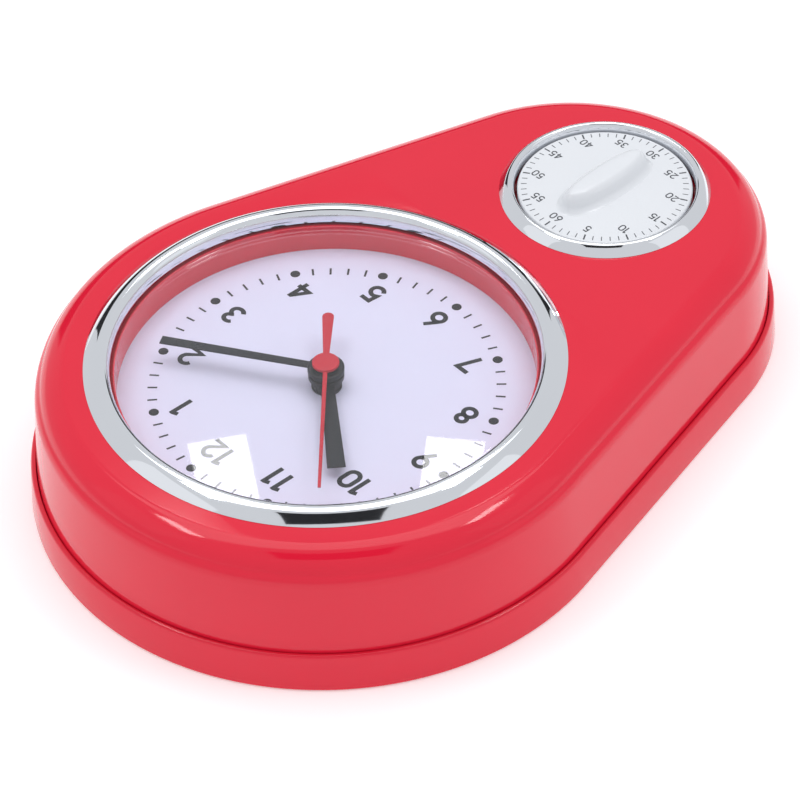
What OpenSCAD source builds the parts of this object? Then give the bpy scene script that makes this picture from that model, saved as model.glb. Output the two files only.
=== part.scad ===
// Kitchen wall clock with a wind-up hour timer, lying on its back.
// Millimetres. +Z points out of the dial, +Y at twelve, +X at three. The back plane is z = 0,
// and the origin is the middle of the outline's width and length on that plane.

/* [Outline] */
// Overall length along Y
total_length = 245; // [240:0.5:250]
// Radius of the large end of the outline, around the clock axis
big_radius = 87.2; // [86:0.1:88]
// Radius of the small end of the outline
small_radius = 61.8; // [61:0.1:62.5]
// Distance from the clock axis to the timer axis
timer_offset = 109.5; // [108.5:0.1:110.5]

/* [Housing] */
// Height of the back cover's rim
rim_height = 12.6; // [12:0.1:13]
// Height of the flat front face
face_height = 45.05; // [44.8:0.05:45.4]
// Wall thickness of the front housing
wall = 2.4; // [2:0.1:2.6]
// Thickness of the back cover's floor
floor_thickness = 2; // [1.6:0.1:2.4]
// Radius of the well that the hands turn in
well_radius = 60.15; // [59.8:0.05:60.4]
// Radius of the timer's recess
pan_radius = 27.9; // [27.8:0.05:28.1]

/* [Clock face] */
// Height of the dial's face
dial_height = 33.6; // [33.4:0.05:33.8]
// Angle of the hour hand, clockwise from twelve
hour_angle = 306.4; // [0:0.1:359]
// Angle of the minute hand, clockwise from twelve
minute_angle = 56.8; // [0:0.1:359]
// Angle of the second hand, clockwise from twelve
second_angle = 312.7; // [0:0.1:359]
// Length of the hour hand
hour_length = 38; // [34:0.5:40]
// Length of the minute hand
minute_length = 49.3; // [45:0.1:52]
// Length of the second hand's pointer
second_length = 50.8; // [48:0.1:55]

/* [Timer] */
// Radius of the timer knob's skirt
knob_radius = 26.1; // [25.8:0.1:26.2]
// Height of the top of the knob's grip
grip_height = 52.5; // [51.5:0.5:54]
// Turn of the knob at rest, anticlockwise from zero minutes
knob_angle = 2; // [0:0.5:5]

/* [Hidden] */
$fn = 96;

// --- Outline: two arcs and their common tangents ---
clock_y = total_length / 2 - big_radius;
small_y = small_radius - total_length / 2;
timer_y = clock_y - timer_offset;
taper = big_radius - small_radius;
centre_gap = clock_y - small_y;
lean = asin(taper / centre_gap);
side_length = sqrt(centre_gap * centre_gap - taper * taper);

// --- Front housing profile, as radii of the large end ---
shell_radius = big_radius - 2.45;
shoulder_radius = big_radius - 4;
shoulder_height = face_height - 7.65;
flat_radius = big_radius - 12.2;
skirt_gap = 0.2;
// The flat face sits this far under the rolled edge round it
face_step = 0.03;

// --- Lens seat and bezels ---
lens_seat = face_height - 2.65;
lens_thickness = 1.3;
lens_rise = 1.8;
lens_top = lens_seat + lens_thickness;
seat_radius = well_radius + 2.15;
pan_floor = face_height - 4.45;
pan_thickness = 2;
crest_rise = 3;

// --- Dial and movement heights ---
dial_thickness = 1.2;
dial_radius = 66;
cushion_thickness = 1;
case_depth = 16;
case_z = dial_height - dial_thickness - cushion_thickness - case_depth;
case_size = 56;
case_wall = 1;

// --- Hands ---
hour_z = dial_height + 3.6;
minute_z = dial_height + 6.8;
second_z = dial_height + 8.5;
hand_thickness = 0.5;
hour_boss = 5.2;
hour_boss_depth = 1.6;
minute_boss = 5.3;
minute_boss_drop = 0.9;
second_cap = 3.9;

// --- Hand arbors, one inside the next ---
second_arbor = 0.75;
minute_tube = 1.55;
hour_tube = 2.5;
bushing_radius = 3.3;
running_gap = 0.07;
press_gap = 0.02;
pivot = 0.3;
arbor = 0.45;

// --- Clock train: tooth counts and modules ---
rotor_teeth = 8;
intermediate_teeth = 40;
intermediate_pinion_teeth = 10;
second_teeth = 60;
second_pinion_teeth = 8;
third_teeth = 60;
third_pinion_teeth = 8;
centre_teeth = 64;
cannon_teeth = 10;
minute_teeth = 30;
minute_pinion_teeth = 8;
hour_teeth = 32;
setting_teeth = 10;
rotor_module = 0.16;
second_module = 0.18;
centre_module = 0.17;
motion_module = 0.35;

// --- Clock train: directions from one axis to the next, and the axes ---
third_way = 60;
intermediate_way = 165;
rotor_way = 200;
minute_way = 150;
third_axis = polar((second_pinion_teeth + third_teeth) / 2 * second_module, third_way);
intermediate_axis = polar((intermediate_pinion_teeth + second_teeth) / 2 * second_module, intermediate_way);
rotor_axis = intermediate_axis + polar((rotor_teeth + intermediate_teeth) / 2 * rotor_module, rotor_way);
minute_axis = polar((cannon_teeth + minute_teeth) / 2 * motion_module, minute_way);
setting_axis = minute_axis + polar((minute_teeth + setting_teeth) / 2 * motion_module, minute_way);

// --- Clock train: turn of each toothed part that puts it in mesh ---
third_turn = mesh_turn(third_way, 0, second_pinion_teeth, third_teeth);
centre_turn = mesh_turn(third_way + 180, third_turn, third_pinion_teeth, centre_teeth);
intermediate_turn = mesh_turn(intermediate_way, 0, second_teeth, intermediate_pinion_teeth);
rotor_turn = mesh_turn(rotor_way, intermediate_turn, intermediate_teeth, rotor_teeth);
minute_turn = mesh_turn(minute_way, 0, cannon_teeth, minute_teeth);
hour_turn = mesh_turn(minute_way + 180, minute_turn, minute_pinion_teeth, hour_teeth);
setting_turn = mesh_turn(minute_way, minute_turn, minute_teeth, setting_teeth);

// --- Clock train: heights above the movement's back, [bottom, top] ---
second_level = [1.8, 2.6];
intermediate_pinion_level = [1.6, 3];
intermediate_level = [3.4, 4.2];
rotor_pinion_level = [3.2, 4.4];
magnet_level = [4.8, 6.6];
stator_level = [5.3, 6.1];
third_level = [6.6, 7.4];
second_pinion_level = [6.2, 8];
third_pinion_level = [7.8, 9.8];
centre_level = [8.6, 9.4];
bridge_level = [10.2, 11];
cannon_level = [11.4, 12.8];
minute_level = [11.6, 12.4];
minute_pinion_level = [12.8, 14.3];
hour_level = [13.3, 14.1];

// --- Battery: size AA, lying along X ---
battery_y = -19.5;
battery_z = 7.65;
battery_radius = 7.25;
battery_length = 49.2;
nub_length = 1.3;
partition_y = -12.1;

// --- Coil on the stator's top bar ---
core_y = 20.5;
core_width = 3;
coil_from = -17;
coil_to = 6;

// --- Timer works: tooth counts, modules and axes from the timer axis ---
main_teeth = 60;
timer_second_pinion_teeth = 10;
timer_second_teeth = 48;
timer_third_pinion_teeth = 8;
timer_third_teeth = 42;
escape_pinion_teeth = 7;
escape_teeth = 15;
main_module = 0.5;
timer_second_module = 0.4;
timer_third_module = 0.35;
timer_second_way = 60;
timer_third_way = 150;
escape_way = 200;
timer_second_axis = polar((main_teeth + timer_second_pinion_teeth) / 2 * main_module, timer_second_way);
timer_third_axis = timer_second_axis
    + polar((timer_second_teeth + timer_third_pinion_teeth) / 2 * timer_second_module, timer_third_way);
escape_axis = timer_third_axis
    + polar((timer_third_teeth + escape_pinion_teeth) / 2 * timer_third_module, escape_way);
balance_gap = 7.2;
balance_axis = escape_axis + polar(balance_gap, escape_way);
timer_second_turn = mesh_turn(timer_second_way, knob_angle, main_teeth, timer_second_pinion_teeth);
timer_third_turn =
    mesh_turn(timer_third_way, timer_second_turn, timer_second_teeth, timer_third_pinion_teeth);
escape_turn = mesh_turn(escape_way, timer_third_turn, timer_third_teeth, escape_pinion_teeth);

// --- Timer works: heights above the back plane ---
plate_thickness = 1.2;
front_plate_z = pan_floor - pan_thickness - plate_thickness;
rear_plate_z = front_plate_z - 17.4;
shaft_radius = 2;
timer_pivot = 0.4;
timer_arbor = 0.7;
plate_low = [-24, -18];
plate_high = [24, 30];
pillar_places = [[-21, -15], [21, -15], [-21, 27], [21, 27]];
timer_screw_places = [[-16, 4], [16, 4]];
bell_axis = [6, 6];
bell_radius = 14;
hammer_axis = [-17, -2];
hammer_reach = 11.4;
hammer_way = -23;

// --- Fastening places, from the clock axis or the small end's centre ---
housing_screw_places = concat(
    [for (a = [40, 140]) [0, clock_y] + polar(74, a)],
    [for (a = [225, 315]) [0, small_y] + polar(50, a)]);
dial_screw_places = [for (a = [45:90:315]) polar(62.6, a)];
access_size = 64;
hanger_y = clock_y + 64;
keyhole_radius = 4.5;
keyhole_slot = 4.4;
rivet_places = [[-14, 0], [14, 0]];

// --- Helpers ---
function polar(r, a) = [r * cos(a), r * sin(a)];

// Turn that puts a follower's gap against the driver's tooth, in the direction way between their axes
function mesh_turn(way, driver_turn, driver_teeth, teeth) =
    way + 180 + 180 / teeth + (way - driver_turn) * driver_teeth / teeth;

// Points of a quadratic curve from a to c, pulled towards b
function curve(a, b, c, steps = 5) =
    [for (i = [0:steps]) let (t = i / steps) (1 - t) * (1 - t) * a + 2 * t * (1 - t) * b + t * t * c];

// A tooth is a trapezium with its widest share of the pitch at the root
function gear_outline(teeth, m) =
    let (r = teeth * m / 2, tip = r + 0.8 * m, root = r - 1.15 * m, pitch = 360 / teeth)
    [for (i = [0:teeth - 1])
        for (corner = [[root, -0.25], [r, -0.21], [tip, -0.085], [tip, 0.085], [r, 0.21], [root, 0.25]])
            polar(corner[0], (i + corner[1]) * pitch)];

module at_clock() { translate([0, clock_y, 0]) children(); }

module at_timer() { translate([0, timer_y, 0]) children(); }

module in_movement(place = [0, 0]) { translate([place[0], clock_y + place[1], case_z]) children(); }

module in_timer(place = [0, 0]) { translate([place[0], timer_y + place[1], 0]) children(); }

module rod(r, from, to) { translate([0, 0, from]) cylinder(r = r, h = to - from); }

module tube(outer, inner, from, to) {
    difference() {
        rod(outer, from, to);
        rod(inner, from - 1, to + 1);
    }
}

module gear(teeth, m, level, turn = 0) {
    translate([0, 0, level[0]]) rotate([0, 0, turn])
        linear_extrude(level[1] - level[0]) polygon(gear_outline(teeth, m));
}

module block(low, high) { translate(low) cube(high - low); }

// A profile of [radius at the large end, height] carried round the outline
module swept(profile) {
    at_clock() {
        rotate([0, 0, -lean]) rotate_extrude(angle = 180 + 2 * lean) polygon(profile);
        for (side = [0, 1]) mirror([side, 0, 0])
            rotate([0, 0, -lean]) rotate([90, 0, 0]) linear_extrude(side_length) polygon(profile);
    }
    translate([0, small_y, 0]) rotate([0, 0, 180 + lean])
        rotate_extrude(angle = 180 - 2 * lean) polygon([for (p = profile) p - [taper, 0]]);
}

// The outline's points at a radius of the large end
function outline(radius, steps = 24) = concat(
    [for (i = [0:steps]) [0, clock_y] + polar(radius, -lean + (180 + 2 * lean) * i / steps)],
    [for (i = [0:steps]) [0, small_y] + polar(radius - taper, 180 + lean + (180 - 2 * lean) * i / steps)]);

// A flat plate inside the outline, out to a radius at the large end
module plate(radius, from, to) {
    translate([0, 0, from]) linear_extrude(to - from) polygon(outline(radius));
}

// --- Housing ---
module front_housing() {
    corner = [shoulder_radius, shoulder_height];
    outside = concat(
        [[shell_radius, floor_thickness + skirt_gap], [shell_radius, rim_height]],
        curve(corner + [0.16, -1.8], corner + [0.05, 0.35], corner + [-1.1, 1.5], 4),
        curve(corner + [-1.6, 2], (corner + [flat_radius, face_height]) / 2 + [1.4, 1.6],
            [flat_radius, face_height], 4));
    inside = [[flat_radius - 2, face_height], [flat_radius - 2, face_height - wall],
        [flat_radius - 1, face_height - wall], corner - [wall + 0.2, 0.4],
        [shell_radius - wall, rim_height], [shell_radius - wall, floor_thickness + skirt_gap]];
    color([0.87, 0.21, 0.29]) difference() {
        union() {
            swept(concat(outside, inside));
            plate(flat_radius - 0.8, face_height - wall - 0.1, face_height - face_step);
            at_clock() rod(well_radius + 4.6, dial_height, face_height - 1);
            at_timer() rod(pan_radius + wall, pan_floor - pan_thickness, face_height - 1);
            for (p = housing_screw_places) translate(p) rod(4, 8, shoulder_height + 4.2);
        }
        at_clock() {
            rod(well_radius, dial_height - 1, face_height + 1);
            rod(seat_radius, lens_seat, face_height + 1);
            for (p = dial_screw_places) translate(p) rod(0.9, dial_height - 1, dial_height + 5);
        }
        at_timer() {
            rod(pan_radius, pan_floor, face_height + 1);
            rod(6, pan_floor - pan_thickness - 1, pan_floor + 1);
            for (p = timer_screw_places) translate(p) rod(1.4, pan_floor - pan_thickness - 1, pan_floor + 1);
        }
        for (p = housing_screw_places) translate(p) rod(1.3, 7, 22);
    }
}

module back_cover() {
    lip = shell_radius + skirt_gap;
    rim = concat(
        [[lip - 1, 0], [big_radius, 0], [big_radius - 0.65, rim_height - 1.75]],
        curve([big_radius - 0.75, rim_height - 1.2], [big_radius - 0.8, rim_height],
            [lip + 0.3, rim_height], 4),
        [[lip, rim_height], [lip, floor_thickness], [lip - 1, floor_thickness]]);
    color([0.84, 0.2, 0.28]) difference() {
        union() {
            swept(rim);
            plate(lip - 0.4, 0, floor_thickness);
            for (p = housing_screw_places) translate(p) rod(5, floor_thickness - 0.5, 7.9);
        }
        at_clock() block([-access_size / 2, -access_size / 2, -1], [access_size / 2, access_size / 2, 4]);
        translate([0, hanger_y, 0]) block([-9, -11, -1], [9, 11, 4]);
        for (p = rivet_places) translate([p[0], hanger_y + p[1]]) rod(1.1, -1, 4);
        for (p = housing_screw_places) translate(p) {
            rod(1.6, -1, 9);
            rod(3.2, -1, 3.6);
        }
    }
}

module housing_screws() {
    color([0.72, 0.73, 0.75]) for (p = housing_screw_places) translate(p) difference() {
        union() {
            rod(2.9, 1.4, 3.6);
            rod(1.25, 3.6, 20);
        }
        for (turn = [0, 90]) rotate([0, 0, turn]) block([-1.9, -0.35, 1], [1.9, 0.35, 2.6]);
    }
}

module hanger_plate() {
    color([0.7, 0.71, 0.73]) translate([0, hanger_y, 0]) difference() {
        block([-18, -13, floor_thickness], [18, 13, floor_thickness + 1.2]);
        translate([0, -3, 0]) rod(keyhole_radius, 1, 5);
        block([-keyhole_slot / 2, -3, 1], [keyhole_slot / 2, 6, 5]);
        translate([0, 6, 0]) rod(keyhole_slot / 2, 1, 5);
        for (p = rivet_places) translate(p) rod(1.1, 1, 5);
    }
}

module hanger_rivets() {
    color([0.78, 0.79, 0.8]) for (p = rivet_places) translate([p[0], hanger_y + p[1]]) {
        rod(1.05, 0, floor_thickness + 1.2);
        rod(1.9, floor_thickness + 1.2, floor_thickness + 2);
    }
}

// Rounded ring, gentler outside than inside, with a flange that drops into the housing's recess
module bezel(outer, inner, flange, flange_z) {
    width = outer - inner;
    top = face_height + crest_rise;
    rotate_extrude() polygon(concat(
        [[flange, face_height], [outer, face_height]],
        curve([outer, face_height + 0.1], [outer - 0.45 * width, top], [inner + 0.36 * width, top], 6),
        curve([inner + 0.3 * width, top - 0.01], [inner + 0.03 * width, top - 0.2], [inner, flange_z + 0.9], 5),
        [[inner, flange_z], [flange, flange_z]]));
}

module clock_bezel() {
    color([0.83, 0.85, 0.87]) at_clock() bezel(68.9, well_radius + 1.1, well_radius + 2, lens_top);
}

module timer_bezel() {
    color([0.83, 0.85, 0.87]) at_timer() bezel(31.4, pan_radius - 1.25, pan_radius - 0.15, face_height - 2.5);
}

module lens() {
    rim = seat_radius - 0.15;
    edge = well_radius + 0.4;
    dome = concat([[rim, lens_seat]],
        curve([edge, lens_seat], [edge / 2, lens_seat + lens_rise], [0, lens_seat + lens_rise], 8));
    color([0.9, 0.94, 0.96, 0.3]) at_clock() rotate_extrude()
        polygon(concat(dome, [for (i = [len(dome) - 1:-1:0]) dome[i] + [0, lens_thickness]]));
}

module dial_plate() {
    color([0.93, 0.93, 0.96]) at_clock() difference() {
        rod(dial_radius, dial_height - dial_thickness, dial_height);
        rod(bushing_radius + 0.05, dial_height - 3, dial_height + 1);
        for (p = dial_screw_places) translate(p) rod(1, dial_height - 3, dial_height + 1);
    }
}

module dial_screws() {
    color([0.75, 0.76, 0.78]) at_clock() for (p = dial_screw_places) translate(p) {
        rod(0.85, dial_height - dial_thickness, dial_height + 4);
        rod(1.9, dial_height - dial_thickness - 1.2, dial_height - dial_thickness);
    }
}

// --- Hands ---
// A straight hand towards +Y, from its width at the axis to its width at the tip
module blade(length, root_width, tip_width) {
    linear_extrude(hand_thickness) polygon([[-root_width / 2, 0], [root_width / 2, 0],
        [tip_width / 2, length], [-tip_width / 2, length]]);
}

module hour_hand() {
    color([0.16, 0.16, 0.19]) at_clock() rotate([0, 0, -hour_angle]) difference() {
        union() {
            translate([0, 0, hour_z]) blade(hour_length, 3.9, 5.2);
            rod(hour_boss, hour_z, hour_z + hour_boss_depth);
            rod(hour_tube + 0.8, hour_z - 0.4, hour_z);
        }
        rod(hour_tube + press_gap, hour_z - 1, hour_z + 2);
    }
}

module minute_hand() {
    color([0.16, 0.16, 0.19]) at_clock() rotate([0, 0, -minute_angle]) difference() {
        union() {
            translate([0, 0, minute_z]) blade(minute_length, 2.6, 3.2);
            rod(minute_boss, minute_z - minute_boss_drop, minute_z + 0.7);
            rod(minute_tube + 0.8, minute_z - minute_boss_drop - 0.4, minute_z);
        }
        rod(minute_tube + press_gap, minute_z - 2, minute_z + 1);
    }
}

module second_hand() {
    tail = 21.5;
    tail_end = 1.7;
    color([0.85, 0.2, 0.3]) at_clock() rotate([0, 0, -second_angle]) difference() {
        union() {
            translate([0, 0, second_z]) blade(second_length, 1.3, 0.9);
            translate([0, 0, second_z]) linear_extrude(hand_thickness)
                polygon([[-0.7, 0], [0.7, 0], [tail_end, tail_end - tail], [-tail_end, tail_end - tail]]);
            translate([0, tail_end - tail, 0]) rod(tail_end, second_z, second_z + hand_thickness);
            rod(second_cap, second_z, second_z + 0.9);
            rod(second_arbor + 0.7, second_z - 0.6, second_z);
        }
        rod(second_arbor + press_gap, second_z - 1, second_z + 0.3);
    }
}

// --- Movement ---
module mounting_nut() {
    color([0.2, 0.2, 0.22]) at_clock() difference() {
        translate([0, 0, dial_height + 0.4]) cylinder(r = 4.3, h = 2.2, $fn = 6);
        rod(bushing_radius + press_gap, dial_height, dial_height + 3);
    }
}

module nut_washer() {
    color([0.8, 0.7, 0.4]) at_clock() tube(4.4, bushing_radius + 0.05, dial_height, dial_height + 0.4);
}

module rubber_cushion() {
    color([0.12, 0.12, 0.12]) at_clock() tube(9, bushing_radius + 0.05,
        case_z + case_depth, case_z + case_depth + cushion_thickness);
}

module centre_bushing() {
    color([0.8, 0.68, 0.36]) in_movement() {
        tube(bushing_radius, hour_tube + running_gap, case_depth - case_wall, dial_height + 2.8 - case_z);
        tube(5.2, hour_tube + running_gap, case_depth - case_wall - 0.6, case_depth - case_wall);
    }
}

module movement_case() {
    half = case_size / 2;
    inner = half - case_wall;
    front = case_depth - case_wall;
    color([0.13, 0.13, 0.14]) in_movement() difference() {
        block([-half, -half, 0], [half, half, case_depth]);
        block([-inner, partition_y + 1, -1], [inner, inner, front]);
        block([-inner, -inner, -1], [inner, partition_y, front]);
        rod(bushing_radius + press_gap, 0, case_depth + 1);
        translate(minute_axis) rod(pivot + running_gap, front - 1, front + 0.6);
        translate(setting_axis) rod(0.5 + running_gap, front - 1, front + 0.6);
    }
}

module movement_lid() {
    inner = case_size / 2 - case_wall - 0.1;
    color([0.2, 0.2, 0.21]) in_movement() difference() {
        block([-inner, partition_y + 1.1, 0], [inner, inner, 1]);
        for (p = [[0, 0], third_axis, intermediate_axis, rotor_axis])
            translate(p) rod(pivot + running_gap, 0.4, 2);
        translate(setting_axis) rod(1 + running_gap, -1, 2);
    }
}

module train_bridge() {
    color([0.85, 0.84, 0.78]) in_movement() difference() {
        union() {
            block([-17, -6, bridge_level[0]], [9, 12, bridge_level[1]]);
            for (p = [[-15.5, -4.5], [7.7, 10.7]]) translate(p) rod(1.2, 1, bridge_level[0]);
        }
        rod(minute_tube + running_gap, 9, 12);
        for (p = [third_axis, intermediate_axis, rotor_axis, minute_axis])
            translate(p) rod(pivot + running_gap, 9, 12);
        translate(setting_axis) rod(1 + running_gap, 9, 12);
    }
}

module circuit_board() {
    color([0.1, 0.36, 0.2]) in_movement() block([-26.2, -8, 7], [-18.5, 16, 7.8]);
}

module clock_chip() {
    color([0.06, 0.06, 0.07]) in_movement([-21.6, -3.5]) rod(2.2, 7.8, 9);
}

module quartz_crystal() {
    color([0.8, 0.8, 0.82]) in_movement([-22.4, 3]) translate([0, 0, 9.4]) rotate([-90, 0, 0])
        cylinder(r = 1.5, h = 8);
}

module stator() {
    thickness = stator_level[1] - stator_level[0];
    color([0.6, 0.6, 0.64]) in_movement() translate([0, 0, stator_level[0]]) linear_extrude(thickness)
        difference() {
            union() {
                translate(rotor_axis) circle(r = 3.1);
                translate([-17.8, -1.2]) square([6, 3]);
                translate([-17.8, -1.2]) square([3, core_y + 1.2 + core_width / 2]);
                translate([-11.5, -5]) square([23.5, 2.9]);
                translate([9, -5]) square([3, core_y + 5 + core_width / 2]);
                translate([-17.8, core_y - core_width / 2]) square([29.8, core_width]);
            }
            translate(rotor_axis) circle(r = 2);
        }
}

// A cylinder along X round the stator's bar
module spool(r, from, to) {
    translate([from, core_y, (stator_level[0] + stator_level[1]) / 2]) rotate([0, 90, 0])
        cylinder(r = r, h = to - from);
}

module coil_bobbin() {
    from = coil_from + 2.6;
    middle = (stator_level[0] + stator_level[1]) / 2;
    color([0.9, 0.9, 0.86]) in_movement() difference() {
        union() {
            spool(2.2, from, coil_to);
            spool(3.6, from, from + 1);
            spool(3.6, coil_to - 1, coil_to);
        }
        block([from - 1, core_y - core_width / 2 - 0.1, middle - 0.5],
            [coil_to + 1, core_y + core_width / 2 + 0.1, middle + 0.5]);
    }
}

module coil_winding() {
    from = coil_from + 3.7;
    color([0.72, 0.38, 0.18]) in_movement() difference() {
        spool(3.4, from, coil_to - 1.1);
        spool(2.25, from - 1, coil_to);
    }
}

module rotor() {
    color([0.35, 0.35, 0.38]) in_movement(rotor_axis) {
        rod(pivot, 0.5, 1.1);
        rod(0.4, 1.1, rotor_pinion_level[0]);
        gear(rotor_teeth, rotor_module, rotor_pinion_level, rotor_turn);
        rod(0.4, rotor_pinion_level[1], magnet_level[0]);
        rod(1.5, magnet_level[0], magnet_level[1]);
        rod(0.4, magnet_level[1], bridge_level[0] - 0.1);
        rod(pivot, bridge_level[0] - 0.1, bridge_level[1] - 0.1);
    }
}

module intermediate_wheel() {
    color([0.92, 0.92, 0.9]) in_movement(intermediate_axis) {
        rod(pivot, 0.5, 1.1);
        rod(arbor, 1.1, intermediate_pinion_level[0]);
        gear(intermediate_pinion_teeth, second_module, intermediate_pinion_level, intermediate_turn);
        rod(arbor, intermediate_pinion_level[1], intermediate_level[0]);
        gear(intermediate_teeth, rotor_module, intermediate_level, intermediate_turn);
        rod(arbor, intermediate_level[1], bridge_level[0] - 0.1);
        rod(pivot, bridge_level[0] - 0.1, bridge_level[1] - 0.1);
    }
}

module second_wheel() {
    color([0.85, 0.2, 0.2]) in_movement() {
        rod(pivot, 0.5, 1.1);
        rod(arbor, 1.1, second_level[0]);
        gear(second_teeth, second_module, second_level);
        rod(arbor, second_level[1], second_pinion_level[0]);
        gear(second_pinion_teeth, second_module, second_pinion_level);
        rod(second_arbor, second_pinion_level[1], second_z + 0.2 - case_z);
    }
}

module third_wheel() {
    color([0.92, 0.92, 0.9]) in_movement(third_axis) {
        rod(pivot, 0.5, 1.1);
        rod(arbor, 1.1, third_level[0]);
        gear(third_teeth, second_module, third_level, third_turn);
        rod(arbor, third_level[1], third_pinion_level[0]);
        gear(third_pinion_teeth, centre_module, third_pinion_level, third_turn);
        rod(arbor, third_pinion_level[1], bridge_level[0] - 0.1);
        rod(pivot, bridge_level[0] - 0.1, bridge_level[1] - 0.1);
    }
}

module centre_wheel() {
    color([0.95, 0.9, 0.6]) in_movement() difference() {
        gear(centre_teeth, centre_module, centre_level, centre_turn);
        rod(minute_tube + press_gap, 8, 10);
    }
}

module cannon_pinion() {
    color([0.86, 0.74, 0.4]) in_movement() difference() {
        union() {
            rod(minute_tube, second_pinion_level[1] + 0.4, cannon_level[0]);
            gear(cannon_teeth, motion_module, cannon_level);
            rod(minute_tube, cannon_level[1], minute_z + 0.5 - case_z);
        }
        rod(second_arbor + running_gap, 8, 30);
    }
}

module minute_wheel() {
    color([0.92, 0.92, 0.9]) in_movement(minute_axis) {
        rod(pivot, bridge_level[0] + 0.1, bridge_level[1] + 0.1);
        rod(0.7, bridge_level[1] + 0.1, minute_level[0]);
        gear(minute_teeth, motion_module, minute_level, minute_turn);
        rod(0.7, minute_level[1], minute_pinion_level[0]);
        gear(minute_pinion_teeth, motion_module, minute_pinion_level, minute_turn);
        rod(0.7, minute_pinion_level[1], case_depth - case_wall - 0.1);
        rod(pivot, case_depth - case_wall - 0.1, case_depth - case_wall + 0.5);
    }
}

module hour_wheel() {
    color([0.92, 0.92, 0.9]) in_movement() difference() {
        union() {
            gear(hour_teeth, motion_module, hour_level, hour_turn);
            rod(hour_tube, cannon_level[1] + 0.2, hour_z + 0.5 - case_z);
        }
        rod(minute_tube + running_gap, 12, 30);
    }
}

module setting_knob() {
    color([0.88, 0.88, 0.86]) in_movement(setting_axis) {
        difference() {
            rod(5.5, -4.4, -0.5);
            for (a = [0:30:330]) rotate([0, 0, a]) translate([5.9, 0, 0]) rod(0.8, -5, 0);
        }
        rod(1, -0.5, cannon_level[0]);
        gear(setting_teeth, motion_module, [cannon_level[0], cannon_level[1] - 0.2], setting_turn);
        rod(1, cannon_level[1] - 0.2, case_depth - case_wall - 0.1);
        rod(0.5, case_depth - case_wall - 0.1, case_depth - case_wall + 0.5);
    }
}

module battery() {
    half = battery_length / 2;
    color([0.75, 0.75, 0.2]) in_movement([0, battery_y]) translate([0, 0, battery_z]) rotate([0, 90, 0]) {
        rod(battery_radius, -half, half);
        rod(2.7, half, half + nub_length);
    }
}

module positive_contact() {
    from = battery_length / 2 + nub_length;
    color([0.8, 0.8, 0.78]) in_movement([0, battery_y]) {
        block([from, -4, 3], [from + 0.4, 4, 13]);
        block([from - 0.4, -6, 13], [from + 0.4, 6, 13.6]);
    }
}

module negative_contact() {
    from = -battery_length / 2;
    color([0.8, 0.8, 0.78]) in_movement([0, battery_y]) {
        block([from - 2.2, -5, 2.5], [from - 1.9, 5, 13.5]);
        for (ring = [[3.9, 1.6], [3.3, 1], [2.7, 0.4]])
            translate([from - ring[1], 0, battery_z]) rotate([0, 90, 0])
                rotate_extrude() translate([ring[0], 0]) circle(r = 0.3, $fn = 24);
    }
}

// --- Timer ---
module timer_knob() {
    rim_z = face_height + 1.25;
    color([0.95, 0.95, 0.96]) in_timer() rotate([0, 0, knob_angle]) difference() {
        union() {
            rotate_extrude() polygon(concat(
                [[0, rim_z - 3.2], [knob_radius - 0.5, rim_z - 3.2]],
                curve([knob_radius, rim_z - 2.6], [knob_radius, rim_z], [knob_radius - 1.3, rim_z], 4),
                curve([15, rim_z + 0.45], [8, rim_z + 0.8], [0, rim_z + 0.8], 4)));
            rod(5, pan_floor + 0.5, rim_z - 3);
            hull($fn = 32) {
                for (side = [-1, 1]) translate([0, side * 11.5, 0]) {
                    rod(6.8, rim_z - 0.4, rim_z + 0.4);
                    translate([0, side * -0.8, 0]) rod(4.6, rim_z, grip_height - 2);
                }
                for (side = [-1, 1]) translate([0, side * 8.6, 0]) rod(2.4, rim_z, grip_height);
            }
        }
        difference() {
            rod(shaft_radius + press_gap, pan_floor, rim_z);
            block([-3, 1.4 + press_gap, pan_floor - 1], [3, 3, rim_z + 1]);
        }
    }
}

module timer_shaft() {
    color([0.76, 0.77, 0.79]) in_timer() rotate([0, 0, knob_angle]) difference() {
        rod(shaft_radius, rear_plate_z - 1, face_height + 1);
        block([-3, 1.4, pan_floor + 0.4], [3, 3, face_height + 2]);
    }
}

module timer_main_wheel() {
    color([0.82, 0.68, 0.34]) in_timer() difference() {
        gear(main_teeth, main_module, [rear_plate_z + 13.4, rear_plate_z + 14.6], knob_angle);
        rod(shaft_radius + press_gap, rear_plate_z, front_plate_z);
    }
}

module trip_cam() {
    color([0.78, 0.79, 0.8]) in_timer() rotate([0, 0, knob_angle]) difference() {
        rod(6, rear_plate_z + 11, rear_plate_z + 12.2);
        rod(shaft_radius + press_gap, rear_plate_z, front_plate_z);
        block([-1.2, 4.4, rear_plate_z + 10], [1.2, 8, rear_plate_z + 13]);
    }
}

// A flat spiral strip round the shaft, clear of it
module mainspring() {
    turns = 5;
    steps = 24 * turns;
    inner = 3;
    pitch = 1.75;
    strip = 0.5;
    spiral = [for (i = [0:steps]) [inner + pitch * turns * i / steps, 360 * turns * i / steps]];
    color([0.45, 0.5, 0.6]) in_timer() translate([0, 0, rear_plate_z + 2.4]) linear_extrude(7)
        polygon(concat([for (p = spiral) polar(p[0], p[1])],
            [for (i = [steps:-1:0]) polar(spiral[i][0] + strip, spiral[i][1])]));
}

module timer_plate(z) {
    difference() {
        block([plate_low[0], plate_low[1], z], [plate_high[0], plate_high[1], z + plate_thickness]);
        rod(shaft_radius + running_gap, z - 1, z + 2);
        for (p = [timer_second_axis, timer_third_axis, escape_axis, balance_axis])
            translate(p) rod(timer_pivot + running_gap, z - 1, z + 2);
        children();
    }
}

module timer_front_plate() {
    color([0.74, 0.75, 0.77]) in_timer() timer_plate(front_plate_z)
        for (p = timer_screw_places) translate(p) rod(1.3, front_plate_z - 1, front_plate_z + 2);
}

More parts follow.
